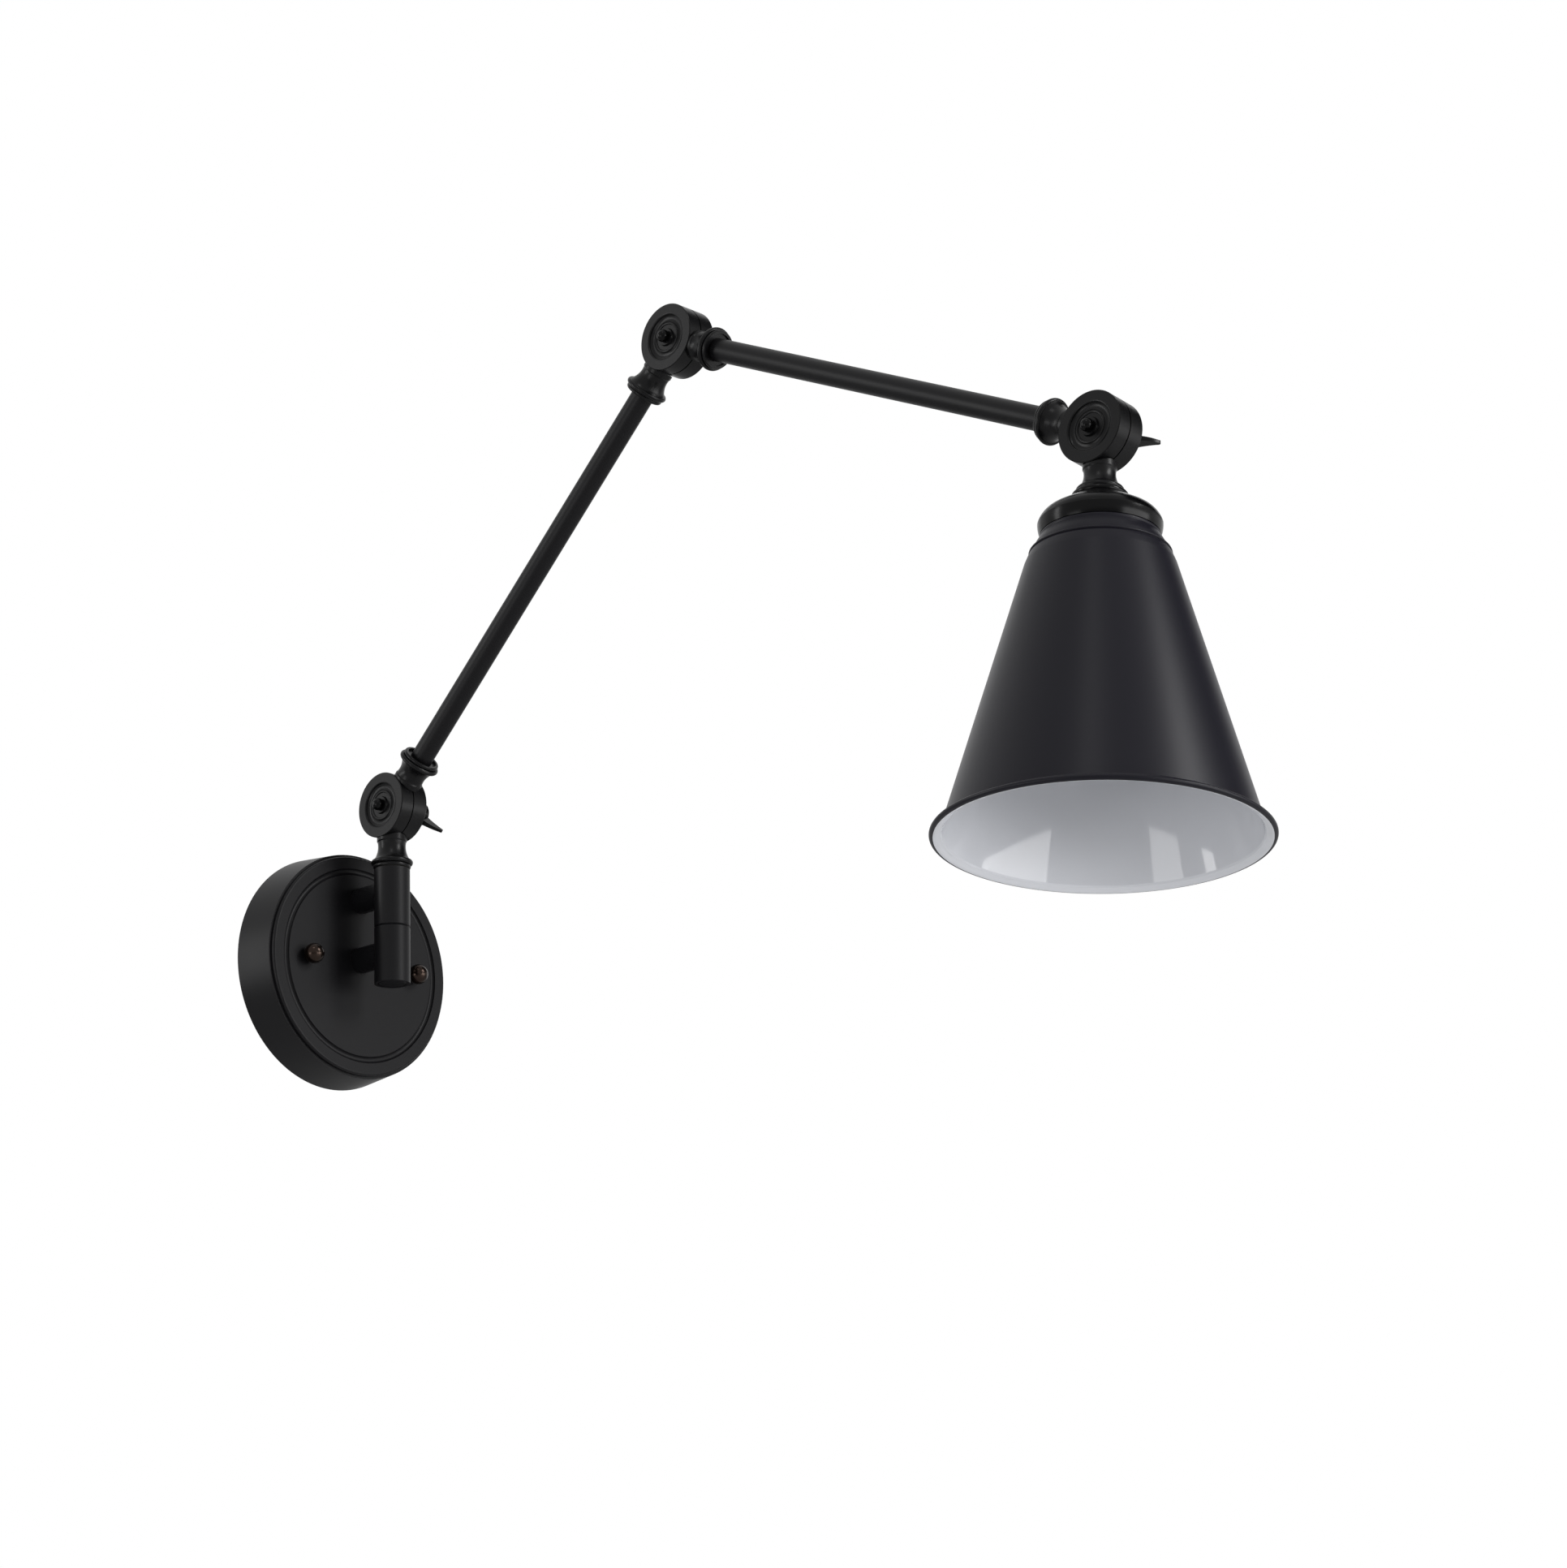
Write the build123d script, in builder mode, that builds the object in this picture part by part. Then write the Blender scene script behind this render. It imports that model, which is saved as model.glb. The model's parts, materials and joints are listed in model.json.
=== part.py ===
from build123d import *
from math import cos, radians, sin, sqrt, tan
import os

os.makedirs("parts", exist_ok=True)

# Articulating wall lamp. Millimetres and degrees.
# The wall is the plane Y = 0 and the lamp stands out towards -Y, with +Z up and +X to the right
# of someone who faces the wall. The origin is the centre of the canopy's back rim.

# ---- driving dimensions ------------------------------------------------------------------

# canopy: a spun steel cap with a stepped face and one pressed groove
canopy_back_radius = 63.5
canopy_front_radius = 61.3
canopy_side_depth = 23.0
canopy_step = 1.4
canopy_face_rise = 2.6
canopy_wall = 1.2
groove_radius = 51.4
groove_width = 3.6
groove_depth = 1.5

# straps behind the canopy
strap_thickness = 1.5
box_strap_margin = 3.0
box_strap_width = 17.0
box_slot_spacing = 88.9
box_slot_length = 11.0
box_slot_width = 4.6
fixture_strap_length = 88.0
fixture_strap_width = 14.0
ear_offset = 4.0
rivet_radius = 4.0
ground_screw_place = 17.0

# canopy screws and their ball nuts
fixing_spacing = 73.2
fixing_radius = 2.0
fixing_head_radius = 3.8
fixing_head_height = 2.2
ball_nut_radius = 5.45
ball_nut_stand = 4.9

# barrel: two sleeves one above the other, each carried by its own post
barrel_stand = 51.1
barrel_radius = 9.6
barrel_bottom = -15.0
barrel_seam = 15.8
post_radius = 7.0
lower_post_height = 2.6
upper_post_height = 35.6
post_tail_radius = 5.0
post_tail_length = 8.5
post_spigot_radius = 4.0
wireway_radius = 2.6

# swivel stem inside the barrel
stem_radius = 5.0
stem_bore = 3.4
stem_nut_flats = 12.4
stem_nut_height = 4.0
stem_seat = 9.0
barrel_pocket_radius = 7.7
barrel_plug_thickness = 2.4

# knuckles: two hollow discs on one bolt
lower_joint_height = 82.7
knuckle_radius = 17.8
front_thickness = 8.2
rear_thickness = 9.5
knuckle_gap = 0.7
knuckle_wall = 3.0
knuckle_rim = 4.4
face_ring_radius = 12.7
face_dish_depth = 1.2
inner_ring_radius = 7.4
front_boss_radius = 4.4
rear_boss_radius = 6.0
bolt_radius = 2.5
bolt_ball_radius = 3.3
bolt_ball_stand = 1.5

# turned necks: lengths run from the middle of the joint
stem_neck_length = 34.5
arm_neck_length = 33.4
head_neck_length = 31.4
neck_root_radius = 8.0
neck_waist_radius = 7.45
neck_flare_radius = 8.4
collar_radius = 11.25
collar_height = 2.6
end_ring_radius = 10.1
end_ring_height = 2.1
neck_socket_depth = 8.0
collar_recess_radius = 8.4
collar_recess_depth = 1.2

# wing nuts
nut_hub_radius = 6.9
nut_hub_top_radius = 6.2
nut_hub_height = 10.2
wing_reach = 15.6
wing_height = 15.0
wing_root_thickness = 3.4
wing_tip_thickness = 1.3
washer_radius = 7.6
spring_washer_radius = 6.2
washer_thickness = 1.0
spring_washer_thickness = 1.3

# arms
arm_length = 300.0
tube_radius = 6.0
tube_wall = 1.0
lower_arm_elevation = 42.0
upper_arm_elevation = -26.0
head_twist = -5.2

# head: depths run down the shade's axis from the middle of the head knuckle
cup_ring_radius = 13.25
cup_ring_height = 2.8
crown_radius = 13.9
crown_edge_radius = 24.0
crown_edge_depth = 40.8
cup_radius = 28.75
cup_widest = 46.8
cup_bottom = 52.4
cup_wall = 1.0
shade_wall = 1.0
shade_neck_radius = 27.7
first_shoulder_width = 4.4
first_shoulder_height = 9.3
second_shoulder_width = 2.8
second_shoulder_height = 6.4
rim_radius = 77.2
rim_depth = 198.6
lip_width = 5.4
lip_height = 4.4
rim_bead_radius = 1.0

# lampholder for an E26 lamp
holder_radius = 19.6
holder_length = 41.0
holder_flange_radius = 23.0
holder_flange_thickness = 1.7
shell_radius = 13.3
shell_wall = 0.5
shell_length = 22.0
shell_inset = 2.5
contact_gap = 0.4
ring_radius = 24.6
ring_height = 4.6

# clearances
running_clearance = 0.05
fitting_clearance = 0.05
free_clearance = 0.4
bolt_clearance = 0.05

# ---- derived places and directions --------------------------------------------------------

origin = Vector(0, 0, 0)
right = Vector(1, 0, 0)
up = Vector(0, 0, 1)
outwards = Vector(0, -1, 0)

canopy_depth = canopy_side_depth + canopy_face_rise
face_radius = canopy_front_radius - canopy_step
barrel_axis = Vector(0, -barrel_stand, 0)
swivel_washer_thickness = 0.5
barrel_top = lower_joint_height - stem_neck_length - swivel_washer_thickness
lower_joint = Vector(0, -barrel_stand, lower_joint_height)
lower_direction = Vector(0, -cos(radians(lower_arm_elevation)), sin(radians(lower_arm_elevation)))
upper_direction = Vector(0, -cos(radians(upper_arm_elevation)), sin(radians(upper_arm_elevation)))
elbow_joint = lower_joint + lower_direction * arm_length
head_joint = elbow_joint + upper_direction * arm_length
head_bolt_direction = right.rotate(Axis(origin, upper_direction), head_twist)
down = up * -1
plumb = (down - head_bolt_direction * down.dot(head_bolt_direction)).normalized()


def section(centre, across, along):
    # sketch plane for a turned piece: x is the radius and y runs along the axis
    return Plane(origin=centre, x_dir=across, z_dir=across.cross(along))


def save(piece, label):
    piece.part.label = label
    export_step(piece.part, f"parts/{label}.step")


# ---- canopy -------------------------------------------------------------------------------

canopy_section = section(origin, right, outwards)
canopy_axis = Axis(origin, outwards)
groove_half = groove_width / 2

with BuildPart() as canopy:
    with BuildSketch(canopy_section):
        with BuildLine():
            outside = Polyline(
                (canopy_back_radius, 0),
                (canopy_front_radius, canopy_side_depth),
                (face_radius, canopy_side_depth),
                (face_radius, canopy_depth - canopy_wall),
            )
            edge = RadiusArc(
                outside @ 1, (face_radius - canopy_wall, canopy_depth), -canopy_wall
            )
            ring = Line(edge @ 1, (groove_radius + groove_half, canopy_depth))
            groove = ThreePointArc(
                ring @ 1,
                (groove_radius, canopy_depth - groove_depth),
                (groove_radius - groove_half, canopy_depth),
            )
            Polyline(
                groove @ 1,
                (0, canopy_depth),
                (0, canopy_depth - canopy_wall),
                (groove_radius - groove_half - canopy_wall / 2, canopy_depth - canopy_wall),
                (groove_radius - groove_half / 2, canopy_depth - canopy_wall - groove_depth),
                (groove_radius + groove_half / 2, canopy_depth - canopy_wall - groove_depth),
                (groove_radius + groove_half + canopy_wall / 2, canopy_depth - canopy_wall),
                (face_radius - canopy_wall * 1.3, canopy_depth - canopy_wall),
                (face_radius - canopy_wall, canopy_side_depth - canopy_wall),
                (canopy_front_radius - canopy_wall, canopy_side_depth - canopy_wall),
                (canopy_back_radius - canopy_wall, 0),
                (canopy_back_radius, 0),
            )
        make_face()
    revolve(axis=canopy_axis)
    with Locations(Plane(origin=(0, -canopy_depth, 0), x_dir=right, z_dir=outwards)):
        with Locations((-fixing_spacing / 2, 0), (fixing_spacing / 2, 0)):
            Hole(radius=fixing_radius + free_clearance)
        with Locations((0, lower_post_height), (0, upper_post_height)):
            Hole(radius=post_tail_radius + fitting_clearance)
save(canopy, "canopy")

# ---- straps and canopy fixings ------------------------------------------------------------

box_strap_length = box_slot_spacing + box_slot_length + 2 * box_strap_margin
with BuildPart() as box_strap:
    with BuildSketch(Plane.XZ):
        SlotOverall(box_strap_length, box_strap_width, rotation=90)
        with Locations((0, -box_slot_spacing / 2), (0, box_slot_spacing / 2)):
            SlotOverall(box_slot_length, box_slot_width, rotation=90, mode=Mode.SUBTRACT)
        Circle(rivet_radius + fitting_clearance, mode=Mode.SUBTRACT)
    extrude(amount=strap_thickness)
save(box_strap, "box_strap")

strap_back = strap_thickness
ear_back = strap_back + ear_offset
ear_front = ear_back + strap_thickness
ear_start = fixing_spacing / 2 - fixture_strap_width / 2
ear_bend = ear_start - ear_offset
bend_shift = strap_thickness * tan(radians(22.5))

with BuildPart() as fixture_strap:
    with BuildSketch(Plane.XY.offset(-fixture_strap_width / 2)):
        with BuildLine():
            half_strap = Polyline(
                (0, -strap_back),
                (ear_bend, -strap_back),
                (ear_start, -ear_back),
                (fixture_strap_length / 2, -ear_back),
                (fixture_strap_length / 2, -ear_front),
                (ear_start - bend_shift, -ear_front),
                (ear_bend - bend_shift, -strap_back - strap_thickness),
                (0, -strap_back - strap_thickness),
            )
            mirror(half_strap, about=Plane.YZ)
        make_face()
    extrude(amount=fixture_strap_width)
    with Locations(Plane(origin=(0, -ear_front, 0), x_dir=right, z_dir=outwards)):
        with Locations((-fixing_spacing / 2, 0), (fixing_spacing / 2, 0)):
            Hole(radius=fixing_radius + fitting_clearance)
        Hole(radius=rivet_radius + fitting_clearance)
        with Locations((ground_screw_place, 0)):
            Hole(radius=fixing_radius + fitting_clearance)
save(fixture_strap, "fixture_strap")

with BuildPart() as strap_rivet:
    with BuildSketch(canopy_section):
        with BuildLine():
            Polyline(
                (rivet_radius - strap_thickness, 0),
                (rivet_radius, 0),
                (rivet_radius, 2 * strap_thickness),
                (rivet_radius + strap_thickness, 2 * strap_thickness),
                (rivet_radius + strap_thickness, 2.6 * strap_thickness),
                (rivet_radius - strap_thickness, 2.6 * strap_thickness),
                close=True,
            )
        make_face()
    revolve(axis=canopy_axis)
save(strap_rivet, "strap_rivet")

ground_screw_head = 1.9
with BuildPart() as ground_screw:
    strap_front = Plane(
        origin=(ground_screw_place, -2 * strap_thickness, 0), x_dir=right, z_dir=outwards
    )
    with BuildSketch(strap_front):
        Circle(fixing_head_radius)
    extrude(amount=ground_screw_head / 3)
    with BuildSketch(strap_front.offset(ground_screw_head / 3)):
        RegularPolygon(fixing_head_radius - 0.4, 6)
    extrude(amount=ground_screw_head)
    with BuildSketch(strap_front):
        Circle(fixing_radius)
    extrude(amount=-strap_thickness)
save(ground_screw, "ground_screw")

ball_nut_centre = canopy_depth + ball_nut_stand
fixing_tip = ball_nut_centre + ball_nut_radius / 3

with BuildPart() as fixture_screws:
    for side in (-1, 1):
        place = Vector(side * fixing_spacing / 2, 0, 0)
        with BuildSketch(section(place, right, outwards)):
            with BuildLine():
                Polyline(
                    (0, ear_back - fixing_head_height),
                    (fixing_head_radius - 0.8, ear_back - fixing_head_height),
                    (fixing_head_radius, ear_back - fixing_head_height + 0.8),
                    (fixing_head_radius, ear_back),
                    (fixing_radius, ear_back),
                    (fixing_radius, fixing_tip - 0.6),
                    (fixing_radius - 0.6, fixing_tip),
                    (0, fixing_tip),
                    close=True,
                )
            make_face()
        revolve(axis=Axis(place, outwards))
save(fixture_screws, "fixture_screws")

ball_foot_radius = sqrt(ball_nut_radius**2 - ball_nut_stand**2)
with BuildPart() as ball_nuts:
    for side in (-1, 1):
        place = Vector(side * fixing_spacing / 2, 0, 0)
        with BuildSketch(section(place, right, outwards)):
            with BuildLine():
                ball = ThreePointArc(
                    (ball_foot_radius, canopy_depth),
                    (ball_nut_radius, ball_nut_centre),
                    (0, ball_nut_centre + ball_nut_radius),
                )
                Polyline(
                    ball @ 1,
                    (0, fixing_tip + 0.3),
                    (fixing_radius + fitting_clearance, fixing_tip + 0.3),
                    (fixing_radius + fitting_clearance, canopy_depth),
                    ball @ 0,
                )
            make_face()
        revolve(axis=Axis(place, outwards))
save(ball_nuts, "ball_nuts")

# ---- posts --------------------------------------------------------------------------------

spigot_end = barrel_stand - stem_radius - running_clearance - 0.6
post_nut_flats = 14.0
post_nut_height = 4.0
face_inside = canopy_depth - canopy_wall
lock_washer_thickness = 1.4

for name, height in (("lower_post", lower_post_height), ("upper_post", upper_post_height)):
    foot = Vector(0, 0, height)
    with BuildPart() as post:
        with BuildSketch(section(foot, right, outwards)):
            with BuildLine():
                Polyline(
                    (wireway_radius, canopy_depth - post_tail_length),
                    (post_tail_radius, canopy_depth - post_tail_length),
                    (post_tail_radius, canopy_depth),
                    (post_radius, canopy_depth),
                    (post_radius, barrel_stand),
                    (wireway_radius, barrel_stand),
                    close=True,
                )
            make_face()
        revolve(axis=Axis(foot, outwards))
        with BuildSketch(Plane.XY.offset(height - post_radius)):
            with Locations((0, -barrel_stand)):
                Circle(barrel_radius)
        extrude(amount=2 * post_radius, mode=Mode.SUBTRACT)
        with BuildSketch(section(foot, right, outwards)):
            with BuildLine():
                Polyline(
                    (wireway_radius, barrel_stand - barrel_radius - 1),
                    (post_spigot_radius, barrel_stand - barrel_radius - 1),
                    (post_spigot_radius, spigot_end),
                    (wireway_radius, spigot_end),
                    close=True,
                )
            make_face()
        revolve(axis=Axis(foot, outwards))
    save(post, name)

with BuildPart() as post_lock_washers:
    for height in (lower_post_height, upper_post_height):
        inside = Plane(origin=(0, -face_inside, height), x_dir=right, z_dir=outwards)
        with BuildSketch(inside):
            Circle(post_nut_flats / 2 + 1)
            Circle(post_tail_radius + fitting_clearance, mode=Mode.SUBTRACT)
        extrude(amount=-lock_washer_thickness)
save(post_lock_washers, "post_lock_washers")

with BuildPart() as post_nuts:
    for height in (lower_post_height, upper_post_height):
        inside = Plane(
            origin=(0, lock_washer_thickness - face_inside, height), x_dir=right, z_dir=outwards
        )
        with BuildSketch(inside):
            RegularPolygon(post_nut_flats / 2, 6, major_radius=False)
            Circle(post_tail_radius + fitting_clearance, mode=Mode.SUBTRACT)
        extrude(amount=-post_nut_height)
save(post_nuts, "post_nuts")

# ---- barrel -------------------------------------------------------------------------------

barrel_plane = Plane(origin=barrel_axis, x_dir=right, z_dir=up)
seam_chamfer = 0.6
stem_washer_thickness = 1.0
nut_room = 1.0
pocket_depth = barrel_plug_thickness + nut_room + stem_nut_height + stem_washer_thickness
stem_end = barrel_bottom + barrel_plug_thickness + nut_room / 2

with BuildPart() as upper_sleeve:
    with BuildSketch(barrel_plane.offset(barrel_seam)):
        Circle(barrel_radius)
    extrude(amount=barrel_top - barrel_seam)
    chamfer(upper_sleeve.edges().group_by(Axis.Z)[0], length=seam_chamfer)
    with Locations(barrel_plane.offset(barrel_seam)):
        Hole(radius=stem_radius + running_clearance)
    with Locations(Plane(origin=(0, -barrel_stand, upper_post_height), z_dir=outwards * -1)):
        with Locations((0, 0, barrel_radius)):
            Hole(radius=post_spigot_radius + fitting_clearance, depth=barrel_radius)
save(upper_sleeve, "upper_sleeve")

with BuildPart() as lower_sleeve:
    with BuildSketch(barrel_plane.offset(barrel_bottom)):
        Circle(barrel_radius)
    extrude(amount=barrel_seam - barrel_bottom)
    chamfer(lower_sleeve.edges().group_by(Axis.Z)[-1], length=seam_chamfer)
    with Locations(barrel_plane):
        Hole(radius=stem_radius + running_clearance)
    with BuildSketch(barrel_plane.offset(barrel_bottom)):
        Circle(barrel_pocket_radius)
    extrude(amount=pocket_depth, mode=Mode.SUBTRACT)
    with Locations(Plane(origin=(0, -barrel_stand, lower_post_height), z_dir=outwards * -1)):
        with Locations((0, 0, barrel_radius)):
            Hole(radius=post_spigot_radius + fitting_clearance, depth=barrel_radius)
save(lower_sleeve, "lower_sleeve")

with BuildPart() as barrel_plug:
    with BuildSketch(barrel_plane.offset(barrel_bottom)):
        Circle(barrel_pocket_radius - fitting_clearance)
    extrude(amount=barrel_plug_thickness)
    chamfer(barrel_plug.edges().group_by(Axis.Z)[0], length=seam_chamfer)
save(barrel_plug, "barrel_plug")

# ---- swivel stem --------------------------------------------------------------------------

stem_top = lower_joint.Z - stem_neck_length + stem_seat
window_height = 7.0
with BuildPart() as swivel_stem:
    with BuildSketch(barrel_plane.offset(stem_end)):
        Circle(stem_radius)
        Circle(stem_bore, mode=Mode.SUBTRACT)
    extrude(amount=stem_top - stem_end)
    # windows on the wall side let the leads in from the posts while the stem turns
    with BuildSketch(Plane.YZ):
        for height in (lower_post_height, upper_post_height):
            with Locations((-barrel_stand + stem_radius, height)):
                Rectangle(2 * stem_radius, window_height)
    extrude(amount=stem_radius + 1, both=True, mode=Mode.SUBTRACT)
save(swivel_stem, "swivel_stem")

with BuildPart() as swivel_washer:
    with BuildSketch(barrel_plane.offset(barrel_top)):
        Circle(barrel_radius - 0.5)
        Circle(stem_radius + running_clearance, mode=Mode.SUBTRACT)
    extrude(amount=swivel_washer_thickness)
save(swivel_washer, "swivel_washer")

pocket_roof = barrel_bottom + pocket_depth
with BuildPart() as stem_washer:
    with BuildSketch(barrel_plane.offset(pocket_roof - stem_washer_thickness)):
        Circle(stem_nut_flats / 2 + 0.8)
        Circle(stem_radius + fitting_clearance, mode=Mode.SUBTRACT)
    extrude(amount=stem_washer_thickness)
save(stem_washer, "stem_washer")

with BuildPart() as stem_nut:
    with BuildSketch(barrel_plane.offset(pocket_roof - stem_washer_thickness - stem_nut_height)):
        RegularPolygon(stem_nut_flats / 2, 6, major_radius=False)
        Circle(stem_radius + fitting_clearance, mode=Mode.SUBTRACT)
    extrude(amount=stem_nut_height)
save(stem_nut, "stem_nut")

# ---- knuckles -----------------------------------------------------------------------------

gap_half = knuckle_gap / 2
neck_start = knuckle_radius - 3.0
wire_bore = 3.0
pocket_radius = knuckle_radius - knuckle_rim
bolt_hole = bolt_radius + bolt_clearance
centre_post_radius = 5.0
tube_socket = tube_radius + fitting_clearance
stem_socket = stem_radius + fitting_clearance
wire_hole_start = pocket_radius - 1.0
wire_hole_length = knuckle_rim + 2.0


def disc_outline(face, boss_radius):
    # half section of one hollow disc: x is the radius, y the distance out from the joint's middle
    floor = face - face_dish_depth
    with BuildLine() as outline:
        centre = Polyline(
            (bolt_hole, gap_half),
            (bolt_hole, face),
            (boss_radius, face),
            (boss_radius + 0.5, floor),
            (inner_ring_radius - 0.6, floor),
        )
        inner_ring = ThreePointArc(
            centre @ 1,
            (inner_ring_radius, floor + 0.5),
            (inner_ring_radius + 0.9, floor - 0.1),
        )
        dish = ThreePointArc(
            inner_ring @ 1,
            ((inner_ring_radius + face_ring_radius) / 2 + 0.4, floor - 0.5),
            (face_ring_radius - 0.9, floor + 0.2),
        )
        lip = ThreePointArc(
            dish @ 1,
            (face_ring_radius - 0.5, face - 0.2),
            (face_ring_radius, face),
        )
        Polyline(
            lip @ 1,
            (knuckle_radius - 0.4, face),
            (knuckle_radius, face - 0.4),
            (knuckle_radius, gap_half),
            (pocket_radius, gap_half),
            (pocket_radius, face - knuckle_wall),
            (centre_post_radius, face - knuckle_wall),
            (centre_post_radius, gap_half),
            (bolt_hole, gap_half),
        )
    return outline.edges()


def neck_edges(length, ring_height):
    # outside of a turned neck up to its collar: x is the radius, y the distance from the joint
    collar_end = length - ring_height
    collar_start = collar_end - collar_height
    root_end = knuckle_radius + free_clearance + 1.0
    flare_start = root_end + (collar_start - root_end) * 0.75
    flare_middle = (flare_start + collar_start) / 2 + 0.15
    with BuildLine() as outline:
        root = Polyline(
            (wire_bore, neck_start),
            (neck_root_radius, neck_start),
            (neck_root_radius, root_end),
            (neck_root_radius - 0.4, root_end + 0.7),
        )
        waist = ThreePointArc(
            root @ 1,
            (neck_waist_radius, (root_end + flare_start) / 2),
            (neck_flare_radius, flare_start),
        )
        flare = ThreePointArc(
            waist @ 1,
            (neck_flare_radius + 0.7, flare_middle),
            (neck_flare_radius + 1.6, collar_start),
        )
        edge = Line(flare @ 1, (collar_radius - 0.8, collar_start))
        ThreePointArc(
            edge @ 1,
            (collar_radius, collar_start + collar_height / 2),
            (collar_radius - 0.8, collar_end),
        )
    return outline.edges()


def arm_neck_outline(length):
    # neck with a collar and an end ring, bored for a tube and recessed round it
    collar_end = length - end_ring_height
    socket_end = length - collar_recess_depth - neck_socket_depth
    with BuildLine() as outline:
        groove = Line((collar_radius - 0.8, collar_end), (end_ring_radius - 0.4, collar_end))
        end_ring = ThreePointArc(
            groove @ 1,
            (end_ring_radius, collar_end + end_ring_height / 2),
            (end_ring_radius - 0.5, length),
        )
        Polyline(
            end_ring @ 1,
            (collar_recess_radius, length),
            (collar_recess_radius, length - collar_recess_depth),
            (tube_socket, length - collar_recess_depth),
            (tube_socket, socket_end),
            (wire_bore, socket_end),
            (wire_bore, neck_start),
        )
    return neck_edges(length, end_ring_height) + outline.edges()


def stem_neck_outline(length):
    # neck with a collar and an end ring, bored for a threaded rod
    collar_end = length - end_ring_height
    with BuildLine() as outline:
        groove = Line((collar_radius - 0.8, collar_end), (end_ring_radius - 0.4, collar_end))
        end_ring = ThreePointArc(
            groove @ 1,
            (end_ring_radius, collar_end + end_ring_height / 2),
            (end_ring_radius - 0.5, length),
        )
        Polyline(
            end_ring @ 1,
            (stem_socket, length),
            (stem_socket, length - stem_seat),
            (wire_bore, length - stem_seat),
            (wire_bore, neck_start),
        )
    return neck_edges(length, end_ring_height) + outline.edges()


def head_neck_outline(length):
    # neck with a collar alone, bored for a threaded rod
    with BuildLine() as outline:
        Polyline(
            (collar_radius - 0.8, length),
            (stem_socket, length),
            (stem_socket, length - stem_seat),
            (wire_bore, length - stem_seat),
            (wire_bore, neck_start),
        )
    return neck_edges(length, 0) + outline.edges()


def knuckle_half(centre, neck, outward, face, boss_radius, neck_outline):
    # one disc with its neck, cut clear of the other disc of the same knuckle
    with BuildPart() as half:
        with BuildSketch(section(centre, neck, outward)):
            make_face(disc_outline(face, boss_radius))
        revolve(axis=Axis(centre, outward))
        with BuildSketch(section(centre, outward, neck)):
            make_face(neck_outline)
        revolve(axis=Axis(centre, neck))
        with BuildSketch(Plane(origin=centre, x_dir=neck, z_dir=outward).offset(gap_half)):
            Circle(knuckle_radius + free_clearance)
        extrude(amount=-2 * knuckle_radius, mode=Mode.SUBTRACT)
        with BuildSketch(Plane(origin=centre + neck * wire_hole_start, z_dir=neck)):
            Circle(wire_bore)
        extrude(amount=wire_hole_length, mode=Mode.SUBTRACT)
    return half


arm_neck = arm_neck_outline(arm_neck_length)
reverse_head_bolt = head_bolt_direction * -1
left = right * -1
front = (front_thickness, front_boss_radius)
rear = (rear_thickness, rear_boss_radius)

knuckle_halves = {
    "stem_knuckle": (lower_joint, down, left, *front, stem_neck_outline(stem_neck_length)),
    "lower_arm_base_knuckle": (lower_joint, lower_direction, right, *rear, arm_neck),
    "lower_arm_end_knuckle": (elbow_joint, lower_direction * -1, left, *front, arm_neck),
    "upper_arm_base_knuckle": (elbow_joint, upper_direction, right, *rear, arm_neck),
    "upper_arm_end_knuckle": (
        head_joint, upper_direction * -1, reverse_head_bolt, *front, arm_neck,
    ),
    "head_knuckle": (
        head_joint, plumb, head_bolt_direction, *rear, head_neck_outline(head_neck_length),
    ),
}
for name, values in knuckle_halves.items():
    save(knuckle_half(*values), name)

# what each bolt carries: friction washer between the discs, washers and wing nut behind them
nut_seat = rear_thickness + washer_thickness + spring_washer_thickness
bolt_end = nut_seat + nut_hub_height + 0.8
spring_washer_gap = 1.2
joints = {
    "lower": (lower_joint, right, down, -45.0),
    "elbow": (elbow_joint, right, down, 150.0),
    "head": (head_joint, head_bolt_direction, plumb, 0.0),
}


def knuckle_bolt(centre, rearward, across):
    face = front_thickness
    ball_centre = face + bolt_ball_stand
    ball_foot = sqrt(bolt_ball_radius**2 - bolt_ball_stand**2)
    with BuildPart() as bolt:
        with BuildSketch(section(centre, across, rearward * -1)):
            with BuildLine():
                head = ThreePointArc(
                    (ball_foot, face),
                    (bolt_ball_radius, ball_centre),
                    (0, ball_centre + bolt_ball_radius),
                )
                Polyline(
                    head @ 1,
                    (0, -bolt_end),
                    (bolt_radius - 0.5, -bolt_end),
                    (bolt_radius, -bolt_end + 0.5),
                    (bolt_radius, face),
                    head @ 0,
                )
            make_face()
        revolve(axis=Axis(centre, rearward))
    return bolt


def friction_washer(centre, rearward, across):
    with BuildPart() as washer:
        with BuildSketch(Plane(origin=centre, x_dir=across, z_dir=rearward)):
            Circle(knuckle_radius - 0.7)
            Circle(pocket_radius, mode=Mode.SUBTRACT)
        extrude(amount=gap_half, both=True)
    return washer


def flat_washer(centre, rearward, across):
    with BuildPart() as washer:
        with BuildSketch(
            Plane(origin=centre, x_dir=across, z_dir=rearward).offset(rear_thickness)
        ):
            Circle(washer_radius)
            Circle(bolt_hole, mode=Mode.SUBTRACT)
        extrude(amount=washer_thickness)
    return washer


def spring_washer(centre, rearward, across):
    seat = rear_thickness + washer_thickness
    with BuildPart() as washer:
        with BuildSketch(Plane(origin=centre, x_dir=across, z_dir=rearward).offset(seat)):
            Circle(spring_washer_radius)
            Circle(bolt_hole, mode=Mode.SUBTRACT)
            with Locations((spring_washer_radius / 2, 0)):
                Rectangle(spring_washer_radius, spring_washer_gap, mode=Mode.SUBTRACT)
        extrude(amount=spring_washer_thickness)
    return washer


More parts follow.
